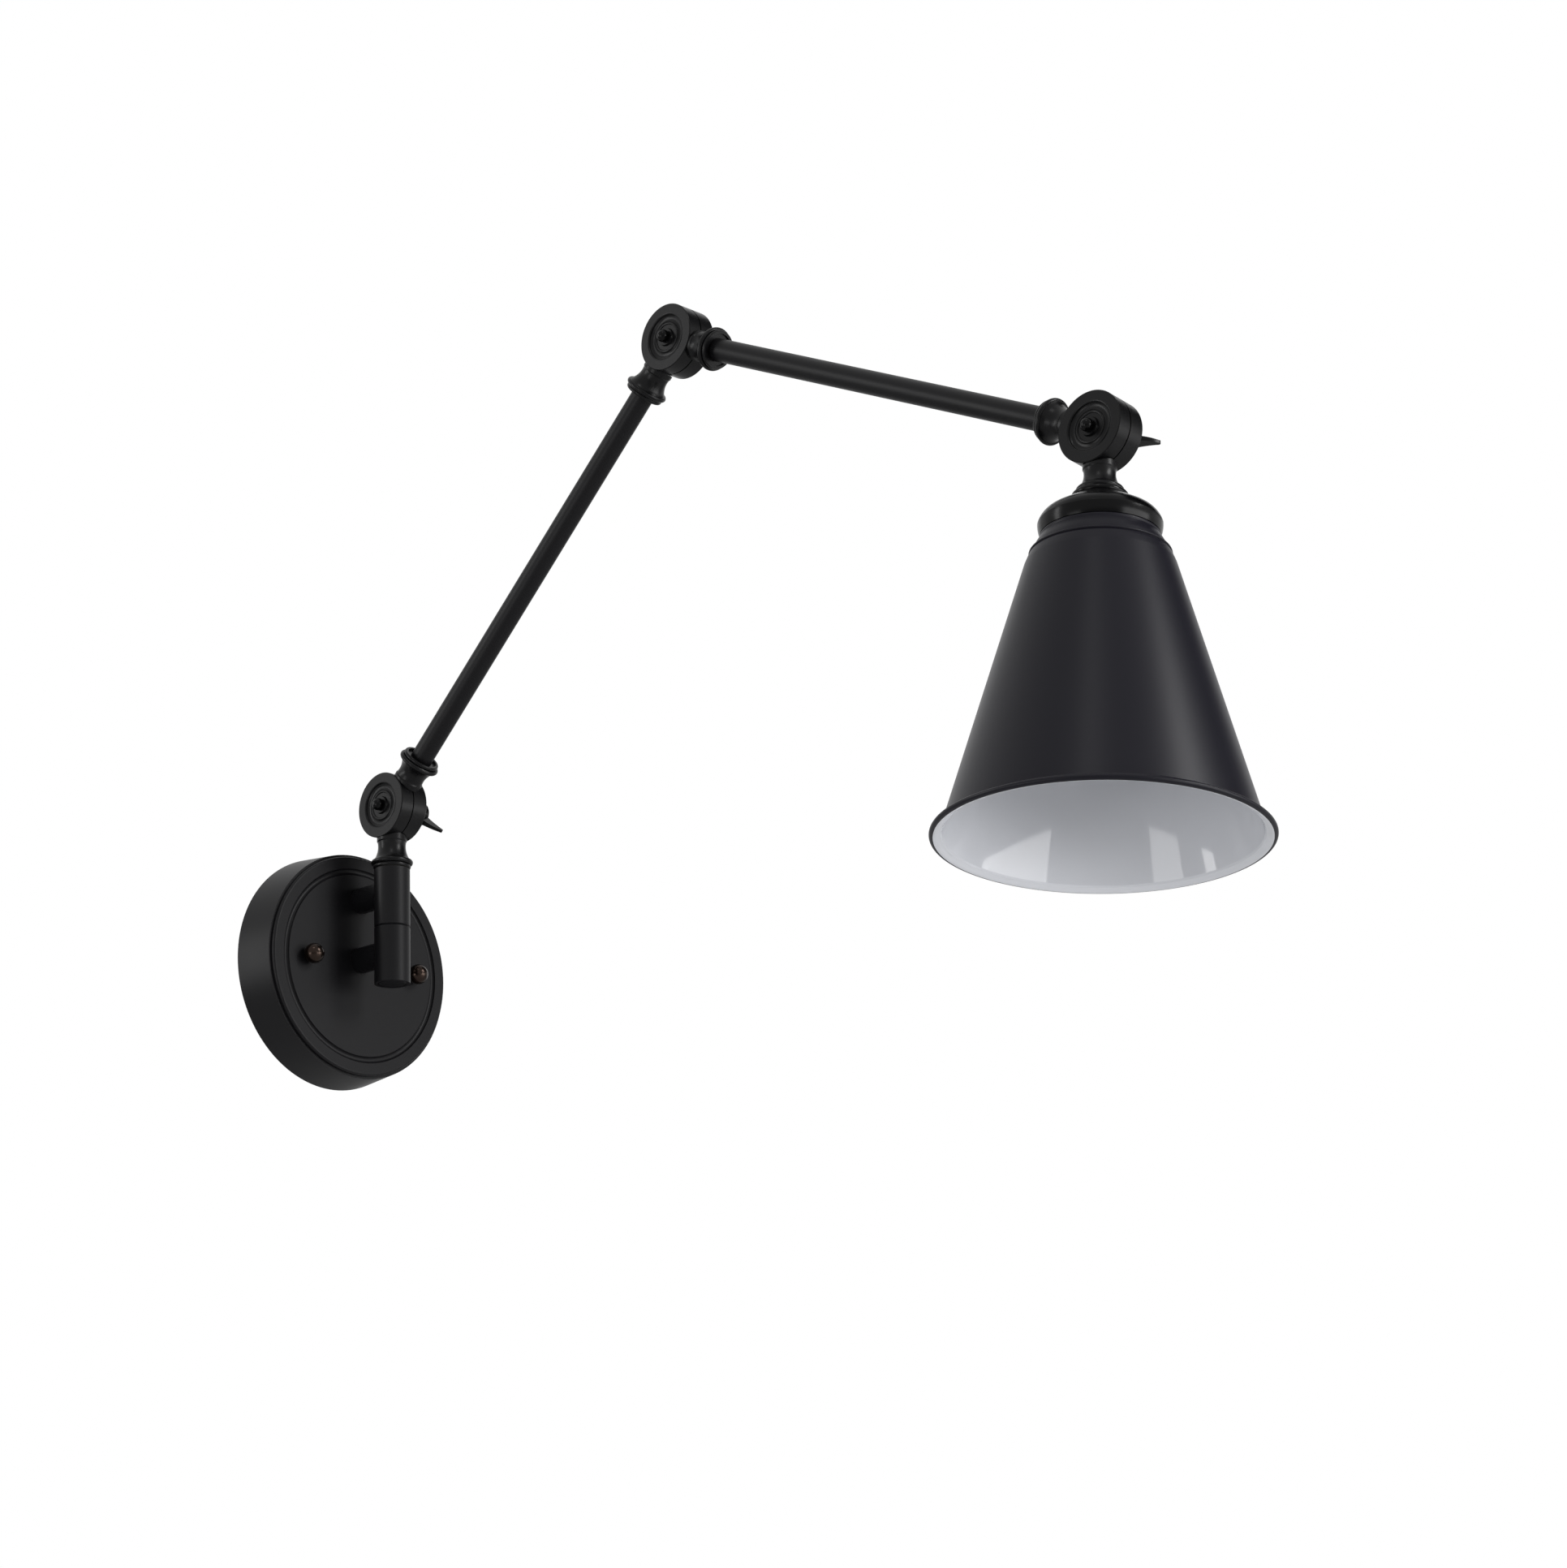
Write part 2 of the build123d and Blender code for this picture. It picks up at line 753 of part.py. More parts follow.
def wing_nut(centre, rearward, wing_direction):
    seat = centre + rearward * nut_seat
    with BuildPart() as wings:
        with BuildSketch(section(seat, wing_direction, rearward)):
            with BuildLine():
                inner = Line((0, 1.2), (nut_hub_radius - 0.8, 1.2))
                under = ThreePointArc(
                    inner @ 1,
                    (wing_reach * 0.78, wing_height * 0.44),
                    (wing_reach, wing_height - 1.6),
                )
                tip = ThreePointArc(
                    under @ 1,
                    (wing_reach - 0.3, wing_height - 0.2),
                    (wing_reach - 1.6, wing_height - 0.5),
                )
                over = ThreePointArc(
                    tip @ 1,
                    (wing_reach * 0.62, wing_height * 0.77),
                    (nut_hub_top_radius - 1.0, nut_hub_height - 0.8),
                )
                Polyline(over @ 1, (0, nut_hub_height - 0.8), (0, 1.2))
            make_face()
            mirror(about=Plane.YZ)
        extrude(amount=wing_root_thickness / 2, both=True)
        with BuildSketch(Plane(origin=seat, x_dir=wing_direction, z_dir=rearward)):
            with BuildLine():
                Polyline(
                    (0, -wing_root_thickness / 2),
                    (nut_hub_top_radius, -wing_root_thickness / 2),
                    (wing_reach + 1, -wing_tip_thickness / 2),
                    (wing_reach + 1, wing_tip_thickness / 2),
                    (nut_hub_top_radius, wing_root_thickness / 2),
                    (0, wing_root_thickness / 2),
                    close=True,
                )
            make_face()
            mirror(about=Plane.YZ)
        extrude(amount=wing_height, mode=Mode.INTERSECT)
    with BuildPart() as nut:
        with BuildSketch(section(seat, wing_direction, rearward)):
            with BuildLine():
                Polyline(
                    (0, 0),
                    (nut_hub_radius, 0),
                    (nut_hub_radius, 2.0),
                    (nut_hub_top_radius, 3.2),
                    (nut_hub_top_radius, nut_hub_height - 0.8),
                    (nut_hub_top_radius - 0.8, nut_hub_height),
                    (0, nut_hub_height),
                    close=True,
                )
            make_face()
        revolve(axis=Axis(seat, rearward))
        add(wings.part)
        with BuildSketch(Plane(origin=seat, x_dir=wing_direction, z_dir=rearward)):
            Circle(bolt_hole)
        extrude(amount=nut_hub_height + 1, mode=Mode.SUBTRACT)
    return nut


for name, (centre, rearward, across, wing_angle) in joints.items():
    save(knuckle_bolt(centre, rearward, across), f"{name}_bolt")
    save(friction_washer(centre, rearward, across), f"{name}_friction_washer")
    save(flat_washer(centre, rearward, across), f"{name}_flat_washer")
    save(spring_washer(centre, rearward, across), f"{name}_spring_washer")
    level = outwards - rearward * outwards.dot(rearward)
    wing_direction = level.normalized().rotate(Axis(origin, rearward), -wing_angle)
    save(wing_nut(centre, rearward, wing_direction), f"{name}_wing_nut")

# ---- arm tubes ----------------------------------------------------------------------------

tube_start = arm_neck_length - collar_recess_depth - neck_socket_depth
for name, start, direction in (
    ("lower_tube", lower_joint, lower_direction),
    ("upper_tube", elbow_joint, upper_direction),
):
    with BuildPart() as tube:
        with BuildSketch(Plane(origin=start + direction * tube_start, z_dir=direction)):
            Circle(tube_radius)
            Circle(tube_radius - tube_wall, mode=Mode.SUBTRACT)
        extrude(amount=arm_length - 2 * tube_start)
    save(tube, name)

# ---- head ---------------------------------------------------------------------------------

head_section = section(head_joint, head_bolt_direction, plumb)
head_axis = Axis(head_joint, plumb)


def below(depth):
    # plane square to the shade's axis, looking down it
    return Plane(origin=head_joint + plumb * depth, x_dir=head_bolt_direction, z_dir=plumb)


cup_ring_top = head_neck_length
cup_top = cup_ring_top + cup_ring_height
cup_inside = cup_top + cup_wall
nipple_hole = stem_radius + fitting_clearance
nipple_nut_height = 3.6
holder_top = cup_inside + nipple_nut_height + 0.3
holder_roof = 4.0
shade_top = cup_bottom
holder_bottom = holder_top + holder_length
nipple_end = holder_top + holder_roof

with BuildPart() as cup_ring:
    with BuildSketch(head_section):
        with BuildLine():
            flat = Line((nipple_hole, cup_ring_top), (cup_ring_radius - 1.3, cup_ring_top))
            edge = ThreePointArc(
                flat @ 1,
                (cup_ring_radius, cup_ring_top + cup_ring_height * 0.55),
                (cup_ring_radius - 0.5, cup_top),
            )
            Polyline(edge @ 1, (nipple_hole, cup_top), flat @ 0)
        make_face()
    revolve(axis=head_axis)
save(cup_ring, "cup_ring")

with BuildPart() as head_nipple:
    with BuildSketch(below(cup_ring_top - stem_seat)):
        Circle(stem_radius)
        Circle(stem_bore, mode=Mode.SUBTRACT)
    extrude(amount=nipple_end - cup_ring_top + stem_seat)
save(head_nipple, "head_nipple")

side_middle = (cup_widest + cup_bottom) / 2
knee_radius = crown_edge_radius + (cup_radius - crown_edge_radius) * 0.68
knee_depth = crown_edge_depth + (cup_widest - crown_edge_depth) * 0.48
with BuildPart() as socket_cup:
    with BuildSketch(head_section):
        with BuildLine():
            crown = Polyline(
                (nipple_hole, cup_top),
                (crown_radius - 0.5, cup_top),
                (crown_radius, cup_top + 0.5),
                (crown_edge_radius, crown_edge_depth),
            )
            knee = ThreePointArc(
                crown @ 1, (knee_radius, knee_depth), (cup_radius, cup_widest)
            )
            side = ThreePointArc(
                knee @ 1,
                (cup_radius - 0.25, side_middle),
                (shade_neck_radius, cup_bottom),
            )
            mouth = Line(side @ 1, (shade_neck_radius - cup_wall, cup_bottom))
            inner_side = ThreePointArc(
                mouth @ 1,
                (cup_radius - cup_wall - 0.25, side_middle),
                (cup_radius - cup_wall, cup_widest),
            )
            inner_knee = ThreePointArc(
                inner_side @ 1,
                (knee_radius - cup_wall * 0.7, knee_depth + cup_wall * 0.7),
                (crown_edge_radius - cup_wall * 0.5, crown_edge_depth + cup_wall * 0.87),
            )
            Polyline(
                inner_knee @ 1,
                (crown_radius - cup_wall * 0.5, cup_inside + 0.45),
                (crown_radius - cup_wall - 0.5, cup_inside),
                (nipple_hole, cup_inside),
                crown @ 0,
            )
        make_face()
    revolve(axis=head_axis)
save(socket_cup, "socket_cup")

with BuildPart() as nipple_nut:
    with BuildSketch(below(cup_inside)):
        RegularPolygon(7.0, 6, major_radius=False)
        Circle(nipple_hole, mode=Mode.SUBTRACT)
    extrude(amount=nipple_nut_height)
save(nipple_nut, "nipple_nut")

holder_hole = holder_radius + 0.3
valley_depth = shade_top + first_shoulder_height * 0.18
first_radius = shade_neck_radius + first_shoulder_width
first_depth = shade_top + first_shoulder_height
bulge_radius = shade_neck_radius + first_shoulder_width * 0.66
bulge_depth = shade_top + first_shoulder_height * 0.64
second_radius = first_radius + second_shoulder_width
second_depth = first_depth + second_shoulder_height
corner_radius = first_radius + second_shoulder_width * 0.62
corner_depth = first_depth + second_shoulder_height * 0.48
lip_radius = rim_radius - lip_width
lip_depth = rim_depth - lip_height
bead_radius = rim_radius - rim_bead_radius
with BuildPart() as shade:
    with BuildSketch(head_section):
        with BuildLine():
            top = Polyline(
                (holder_hole, shade_top),
                (shade_neck_radius - 0.3, shade_top),
                (shade_neck_radius, shade_top + 0.3),
                (shade_neck_radius, valley_depth),
            )
            shoulder = ThreePointArc(
                top @ 1, (bulge_radius, bulge_depth), (first_radius, first_depth)
            )
            step = Line(shoulder @ 1, (first_radius + 0.35, first_depth + 0.25))
            corner = ThreePointArc(
                step @ 1, (corner_radius, corner_depth), (second_radius, second_depth)
            )
            cone = Line(corner @ 1, (lip_radius, lip_depth))
            flare = ThreePointArc(
                cone @ 1,
                (lip_radius + lip_width * 0.42, lip_depth + lip_height * 0.36),
                (bead_radius, rim_depth - 2 * rim_bead_radius),
            )
            bead = ThreePointArc(
                flare @ 1, (rim_radius, rim_depth - rim_bead_radius), (bead_radius, rim_depth)
            )
            inner_flare = ThreePointArc(
                bead @ 1,
                (
                    lip_radius + lip_width * 0.30 - shade_wall * 0.35,
                    lip_depth + lip_height * 0.46 + shade_wall * 0.35,
                ),
                (lip_radius - shade_wall, lip_depth),
            )
            inner_cone = Line(inner_flare @ 1, (second_radius - shade_wall, second_depth + 0.3))
            inner_corner = ThreePointArc(
                inner_cone @ 1,
                (corner_radius - shade_wall * 0.85, corner_depth + shade_wall * 0.55),
                (first_radius - shade_wall * 0.8, first_depth + shade_wall * 0.75),
            )
            inner_shoulder = ThreePointArc(
                inner_corner @ 1,
                (bulge_radius - shade_wall * 0.85, bulge_depth + shade_wall * 0.6),
                (shade_neck_radius - shade_wall, valley_depth + shade_wall * 0.5),
            )
            Polyline(
                inner_shoulder @ 1,
                (shade_neck_radius - shade_wall, shade_top + shade_wall),
                (holder_hole, shade_top + shade_wall),
                top @ 0,
            )
        make_face()
    revolve(axis=head_axis)
save(shade, "shade")

flange_top = shade_top - holder_flange_thickness
cavity_radius = shell_radius + shell_wall + fitting_clearance
carrier_thickness = 1.6
contact_rise = 3.0
shell_top = holder_bottom - shell_inset - shell_length
carrier_face = shell_top - contact_gap - contact_rise
cavity_top = carrier_face - carrier_thickness
with BuildPart() as lampholder_body:
    with BuildSketch(head_section):
        with BuildLine():
            Polyline(
                (nipple_hole, holder_top),
                (holder_radius - 2.5, holder_top),
                (holder_radius - 0.6, holder_top + 2.2),
                (holder_radius - 0.6, flange_top),
                (holder_flange_radius, flange_top),
                (holder_flange_radius, shade_top),
                (holder_radius, shade_top),
                (holder_radius, holder_bottom - 0.8),
                (holder_radius - 0.8, holder_bottom),
                (cavity_radius, holder_bottom),
                (cavity_radius, cavity_top),
                (nipple_hole + 3, cavity_top),
                (nipple_hole + 3, nipple_end),
                (nipple_hole, nipple_end),
                close=True,
            )
        make_face()
    revolve(axis=head_axis)
save(lampholder_body, "lampholder_body")

with BuildPart() as screw_shell:
    with BuildSketch(below(shell_top)):
        Circle(shell_radius + shell_wall)
        Circle(shell_radius, mode=Mode.SUBTRACT)
    extrude(amount=shell_length)
save(screw_shell, "screw_shell")

with BuildPart() as contact_carrier:
    with BuildSketch(below(cavity_top)):
        Circle(cavity_radius - fitting_clearance)
        Circle(wireway_radius, mode=Mode.SUBTRACT)
    extrude(amount=carrier_thickness)
save(contact_carrier, "contact_carrier")

contact_thickness = 0.6
contact_width = 5.0
contact_span = 5.0
with BuildPart() as centre_contact:
    with BuildSketch(head_section):
        with BuildLine():
            contact = ThreePointArc(
                (-contact_span, carrier_face),
                (0, carrier_face + contact_rise),
                (contact_span, carrier_face),
            )
            inner_contact = ThreePointArc(
                (contact_span - contact_thickness, carrier_face),
                (0, carrier_face + contact_rise - contact_thickness),
                (contact_thickness - contact_span, carrier_face),
            )
            Line(contact @ 1, inner_contact @ 0)
            Line(inner_contact @ 1, contact @ 0)
        make_face()
    extrude(amount=contact_width / 2, both=True)
save(centre_contact, "centre_contact")

ring_notches = 12
with BuildPart() as shade_ring:
    with BuildSketch(below(shade_top + shade_wall)):
        Circle(ring_radius)
        Circle(holder_radius + fitting_clearance, mode=Mode.SUBTRACT)
        with PolarLocations(ring_radius + 0.9, ring_notches):
            Circle(1.8, mode=Mode.SUBTRACT)
    extrude(amount=ring_height)
save(shade_ring, "shade_ring")
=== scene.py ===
import json
import math

import bpy
from mathutils import Matrix, Vector


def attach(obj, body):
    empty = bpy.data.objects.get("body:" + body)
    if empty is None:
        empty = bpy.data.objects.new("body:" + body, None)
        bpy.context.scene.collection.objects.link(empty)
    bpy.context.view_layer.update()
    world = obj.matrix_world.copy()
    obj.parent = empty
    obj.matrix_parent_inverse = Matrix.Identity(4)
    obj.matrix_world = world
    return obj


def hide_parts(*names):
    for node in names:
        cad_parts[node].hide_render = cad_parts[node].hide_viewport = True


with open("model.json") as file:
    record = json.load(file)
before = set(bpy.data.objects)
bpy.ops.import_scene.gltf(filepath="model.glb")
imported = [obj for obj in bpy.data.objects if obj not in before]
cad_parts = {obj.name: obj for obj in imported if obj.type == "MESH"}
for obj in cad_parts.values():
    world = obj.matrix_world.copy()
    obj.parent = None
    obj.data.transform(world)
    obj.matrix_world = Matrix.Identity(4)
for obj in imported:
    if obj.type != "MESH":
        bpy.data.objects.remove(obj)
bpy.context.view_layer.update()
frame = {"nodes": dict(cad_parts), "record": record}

print("frame loaded:", len(frame["nodes"]), "nodes")

# the lamp's own places, in metres, as its solids have them
lampPlaces = {
    "lowerJoint": Vector((0, -0.0511, 0.0827)),
    "armLength": 0.300,
    "lowerElevation": math.radians(42),
    "upperElevation": math.radians(-26),
    "headTwist": math.radians(-5.2),
}
down = Vector((0, 0, -1))
sideways = Vector((1, 0, 0))


def armDirection(elevation):
    return Vector((0, -math.cos(elevation), math.sin(elevation)))


lowerDirection = armDirection(lampPlaces["lowerElevation"])
upperDirection = armDirection(lampPlaces["upperElevation"])
elbowJoint = lampPlaces["lowerJoint"] + lowerDirection * lampPlaces["armLength"]
headJoint = elbowJoint + upperDirection * lampPlaces["armLength"]
headBolt = Matrix.Rotation(lampPlaces["headTwist"], 3, upperDirection) @ sideways
shadeAxis = (down + headBolt * headBolt.z).normalized()


def newMaterial(name, colour, roughness, metallic=0.0, specular=0.5):
    material = bpy.data.materials.new(name)
    material.use_nodes = True
    shader = material.node_tree.nodes["Principled BSDF"]
    shader.inputs["Base Color"].default_value = (*colour, 1)
    shader.inputs["Roughness"].default_value = roughness
    shader.inputs["Metallic"].default_value = metallic
    shader.inputs["Specular IOR Level"].default_value = specular
    return material, material.node_tree, shader


def addNoise(tree, place, scale, detail):
    noise = tree.nodes.new("ShaderNodeTexNoise")
    noise.inputs["Scale"].default_value = scale
    noise.inputs["Detail"].default_value = detail
    tree.links.new(place.outputs["Object"], noise.inputs["Vector"])
    return noise.outputs["Fac"]


def addSpread(tree, factor, low, high, socket):
    spread = tree.nodes.new("ShaderNodeMapRange")
    spread.inputs["To Min"].default_value = low
    spread.inputs["To Max"].default_value = high
    tree.links.new(factor, spread.inputs["Value"])
    tree.links.new(spread.outputs["Result"], socket)


def addGrain(tree, shader, scale, strength, distance):
    # fine unevenness of a coat or a cast skin
    place = tree.nodes.new("ShaderNodeTexCoord")
    bump = tree.nodes.new("ShaderNodeBump")
    bump.inputs["Strength"].default_value = strength
    bump.inputs["Distance"].default_value = distance
    tree.links.new(addNoise(tree, place, scale, detail=3), bump.inputs["Height"])
    tree.links.new(bump.outputs["Normal"], shader.inputs["Normal"])
    return place


def addMath(tree, operation, first, second, kind="ShaderNodeMath"):
    node = tree.nodes.new(kind)
    node.operation = operation
    tree.links.new(first, node.inputs[0])
    if hasattr(second, "is_output"):
        tree.links.new(second, node.inputs[1])
    else:
        node.inputs[1].default_value = second
    return node.outputs


def addDot(tree, first, second):
    return addMath(tree, "DOT_PRODUCT", first, second, "ShaderNodeVectorMath")["Value"]


# grain is scale, strength and depth; spread is scale, lowest and highest roughness
finishes = {
    "satinBlack": dict(colour=(0.0035, 0.0034, 0.0040), roughness=0.40, specular=0.12,
                       grain=(2600, 0.08, 0.00004), spread=(30, 0.37, 0.44)),
    "turnedBlack": dict(colour=(0.0013, 0.0013, 0.0015), roughness=0.21, specular=0.10,
                        grain=(1500, 0.02, 0.00002), spread=(60, 0.19, 0.24)),
    "knuckleBlack": dict(colour=(0.0024, 0.0024, 0.0027), roughness=0.30, specular=0.13,
                         grain=(1800, 0.03, 0.00002), spread=(60, 0.27, 0.34)),
    "darkBronze": dict(colour=(0.020, 0.013, 0.010), roughness=0.22, metallic=0.9,
                       grain=(1200, 0.04, 0.00003), spread=(90, 0.18, 0.28)),
    "zincSteel": dict(colour=(0.60, 0.60, 0.58), roughness=0.35, metallic=1.0,
                      grain=(900, 0.15, 0.00005), spread=(50, 0.28, 0.45)),
    "greenSteel": dict(colour=(0.05, 0.24, 0.08), roughness=0.35, metallic=0.8,
                       grain=(900, 0.15, 0.00005), spread=(50, 0.28, 0.45)),
    "darkFibre": dict(colour=(0.010, 0.009, 0.008), roughness=0.8, specular=0.2,
                      grain=(3000, 0.5, 0.0001), spread=(300, 0.7, 0.9)),
    "holderPlastic": dict(colour=(0.012, 0.012, 0.012), roughness=0.35, specular=0.4,
                          grain=(1800, 0.15, 0.00005), spread=(60, 0.30, 0.42)),
    "contactBrass": dict(colour=(0.75, 0.55, 0.25), roughness=0.28, metallic=1.0,
                         grain=(900, 0.1, 0.00004), spread=(80, 0.22, 0.36)),
}

made = {}
for name, values in finishes.items():
    material, tree, shader = newMaterial(
        name, values["colour"], values["roughness"],
        values.get("metallic", 0.0), values.get("specular", 0.5))
    place = addGrain(tree, shader, *values["grain"])
    scale, low, high = values["spread"]
    drift = addNoise(tree, place, scale, detail=2)
    addSpread(tree, drift, low, high, shader.inputs["Roughness"])
    made[name] = material
print("plain finishes made:", len(made))

# the shade's finish: black outside, white enamel on every face that looks inwards
shadeFinish = {
    "blackCoat": (0.0048, 0.0045, 0.0076),
    "whiteEnamel": (0.50, 0.51, 0.54),
    "blackRoughness": 0.38,
    "enamelRoughness": 0.07,
    "blackSpecular": 0.13,
    "enamelSpecular": 0.28,
    "grain": (900, 0.05, 0.00005),
    "partingTurn": -0.004,      # a face that looks inwards by more than this is enamelled
    "topEnd": 0.0560,           # depth above which the flat top's underside lies
    "topTurn": 0.9,             # and how squarely a face there looks down
}


def enamelledMaterial(name, values):
    material, tree, shader = newMaterial(name, values["blackCoat"], values["blackRoughness"])
    place = addGrain(tree, shader, *values["grain"])

    face = tree.nodes.new("ShaderNodeNewGeometry")
    turned = tree.nodes.new("ShaderNodeVectorTransform")
    turned.vector_type = "NORMAL"
    turned.convert_from = "WORLD"
    turned.convert_to = "OBJECT"
    tree.links.new(face.outputs["True Normal"], turned.inputs["Vector"])
    normal = turned.outputs["Vector"]

    fromJoint = addMath(tree, "SUBTRACT", place.outputs["Object"], headJoint,
                        "ShaderNodeVectorMath")["Vector"]
    depth = addDot(tree, fromJoint, shadeAxis)
    alongNormal = addDot(tree, normal, shadeAxis)
    towards = addDot(tree, fromJoint, normal)
    axialPart = addMath(tree, "MULTIPLY", depth, alongNormal)["Value"]
    outward = addMath(tree, "SUBTRACT", towards, axialPart)["Value"]
    looksIn = addMath(tree, "LESS_THAN", outward, values["partingTurn"])["Value"]
    looksDown = addMath(tree, "GREATER_THAN", alongNormal, values["topTurn"])["Value"]
    nearTop = addMath(tree, "LESS_THAN", depth, values["topEnd"])["Value"]
    underTop = addMath(tree, "MULTIPLY", looksDown, nearTop)["Value"]
    inside = addMath(tree, "MAXIMUM", looksIn, underTop)["Value"]

    colour = tree.nodes.new("ShaderNodeMix")
    colour.data_type = "RGBA"
    colour.inputs["A"].default_value = (*values["blackCoat"], 1)
    colour.inputs["B"].default_value = (*values["whiteEnamel"], 1)
    tree.links.new(inside, colour.inputs["Factor"])
    tree.links.new(colour.outputs["Result"], shader.inputs["Base Color"])
    addSpread(tree, inside, values["blackRoughness"], values["enamelRoughness"],
              shader.inputs["Roughness"])
    addSpread(tree, inside, values["blackSpecular"], values["enamelSpecular"],
              shader.inputs["Specular IOR Level"])
    return material


made["shadeEnamel"] = enamelledMaterial("shadeEnamel", shadeFinish)
print("shade finish made")

slotFinish = {
    "black_paint": "satinBlack",
    "black_turned": "turnedBlack",
    "shade_enamel": "shadeEnamel",
    "dark_bronze": "darkBronze",
    "zinc_steel": "zincSteel",
    "green_steel": "greenSteel",
    "fibre": "darkFibre",
    "holder_plastic": "holderPlastic",
    "contact_brass": "contactBrass",
}
for part in frame["record"]["subparts"]:
    node = frame["nodes"][part["node"]]
    finish = slotFinish[part["material_slot"]]
    if part["node"].endswith("_knuckle"):
        finish = "knuckleBlack"
    node.data.materials.clear()
    node.data.materials.append(made[finish])
print("finishes given to the solids")


def settleOnHead(piece):
    # a piece is made hanging down from the origin, then moved to the head's joint
    piece.rotation_mode = "QUATERNION"
    piece.rotation_quaternion = down.rotation_difference(shadeAxis)
    piece.location = headJoint
    bpy.ops.object.transform_apply(location=True, rotation=True, scale=True)


# the shade is spun from one outline: the kind, radius and depth in millimetres of each point
shadeProfile = {
    "knots": (
        ("corner", 19.9, 52.4), ("corner", 27.2, 52.4), ("smooth", 27.7, 52.9),
        ("corner", 27.7, 54.1), ("smooth", 30.2, 58.3), ("corner", 31.4, 61.2),
        ("smooth", 32.4, 61.3), ("smooth", 32.8, 61.9), ("corner", 32.3, 62.5),
        ("smooth", 32.8, 63.2), ("smooth", 33.9, 65.6),
        ("corner", 34.9, 68.1),
        ("corner", 71.8, 194.0), ("smooth", 73.0, 195.2), ("smooth", 75.6, 195.8),
        ("smooth", 77.15, 197.2), ("smooth", 76.0, 198.6), ("corner", 71.9, 197.1),
        ("corner", 71.3, 196.2), ("corner", 33.9, 68.4), ("smooth", 32.9, 65.2),
        ("corner", 31.3, 62.4), ("smooth", 29.7, 58.9), ("corner", 26.7, 54.6),
        ("corner", 26.7, 53.4), ("corner", 19.9, 53.4),
    ),
    "handles": {"corner": "VECTOR", "smooth": "AUTO"},
    "curveSteps": 7,
    "turnSteps": 192,
    "weld": 0.00001,
    "smoothAngle": math.radians(14),
}
bpy.ops.curve.primitive_bezier_curve_add(location=(0, 0, 0))
shade = bpy.context.object
shade.name = "spunShade"
outline = shade.data.splines[0]
outline.bezier_points.add(len(shadeProfile["knots"]) - len(outline.bezier_points))
for point, (kind, radius, depth) in zip(outline.bezier_points, shadeProfile["knots"]):
    point.co = (radius / 1000, 0, -depth / 1000)
    point.handle_left_type = shadeProfile["handles"][kind]
    point.handle_right_type = shadeProfile["handles"][kind]
outline.use_cyclic_u = True
outline.resolution_u = shadeProfile["curveSteps"]
shade.data.resolution_u = shadeProfile["curveSteps"]
bpy.ops.object.convert(target="MESH")
shade = bpy.context.object
turn = shade.modifiers.new("turn", "SCREW")
turn.axis = "Z"
turn.steps = shadeProfile["turnSteps"]
turn.render_steps = shadeProfile["turnSteps"]
turn.use_merge_vertices = True
turn.merge_threshold = shadeProfile["weld"]
turn.use_normal_calculate = True
bpy.ops.object.modifier_apply(modifier=turn.name)
bpy.ops.object.mode_set(mode="EDIT")
bpy.ops.mesh.select_all(action="SELECT")
bpy.ops.mesh.remove_doubles(threshold=shadeProfile["weld"])
bpy.ops.mesh.normals_make_consistent(inside=False)
bpy.ops.object.mode_set(mode="OBJECT")
bpy.ops.object.shade_smooth_by_angle(angle=shadeProfile["smoothAngle"])
settleOnHead(shade)
shade.data.materials.append(made["shadeEnamel"])
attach(shade, "head")
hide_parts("shade")
print("shade spun:", len(shade.data.polygons), "faces")

# the lampholder's thread is a round-backed rib wound inside the shell
threadValues = {
    "start": 0.0572,
    "length": 0.0188,
    "pitch": 0.00363,
    "radius": 0.01325,
    "rib": 0.00045,
    "pointsPerTurn": 12,
    "curveOrder": 3,
    "ribSteps": 2,
}
turns = threadValues["length"] / threadValues["pitch"]
pointCount = int(turns * threadValues["pointsPerTurn"])
bpy.ops.curve.primitive_nurbs_path_add(location=(0, 0, 0))
thread = bpy.context.object
thread.name = "shellThread"
route = thread.data.splines[0]
route.points.add(pointCount - len(route.points))
for step, point in enumerate(route.points):
    angle = step * math.tau / threadValues["pointsPerTurn"]
    depth = threadValues["start"] + threadValues["length"] * step / (pointCount - 1)
    across = threadValues["radius"] * math.cos(angle)
    along = threadValues["radius"] * math.sin(angle)
    point.co = (across, along, -depth, 1)
route.order_u = threadValues["curveOrder"]
route.use_endpoint_u = True
thread.data.bevel_depth = threadValues["rib"]
thread.data.bevel_resolution = threadValues["ribSteps"]
bpy.ops.object.convert(target="MESH")
thread = bpy.context.object
settleOnHead(thread)
bpy.ops.object.shade_smooth()
thread.data.materials.append(made["contactBrass"])
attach(thread, "head")
print("thread wound:", len(thread.data.polygons), "faces")

# a pale floor below the lamp, clear from underneath and lifted a little for the camera
floorValues = {
    "height": -1.10,
    "size": 24.0,
    "colour": (0.86, 0.86, 0.86),
    "roughness": 0.9,
    "specular": 0.1,
    "lift": 0.45,
}
bpy.ops.object.select_all(action="DESELECT")
bpy.ops.mesh.primitive_plane_add(size=floorValues["size"], location=(0, 0, floorValues["height"]))
floor = bpy.context.object
floor.name = "floor"
floorMaterial, floorTree, floorShader = newMaterial(
    "floorPaint", floorValues["colour"], floorValues["roughness"],
    specular=floorValues["specular"])
floorRays = floorTree.nodes.new("ShaderNodeLightPath")
floorLift = addMath(floorTree, "MULTIPLY", floorRays.outputs["Is Camera Ray"],
                    floorValues["lift"])["Value"]
floorShader.inputs["Emission Color"].default_value = (1, 1, 1, 1)
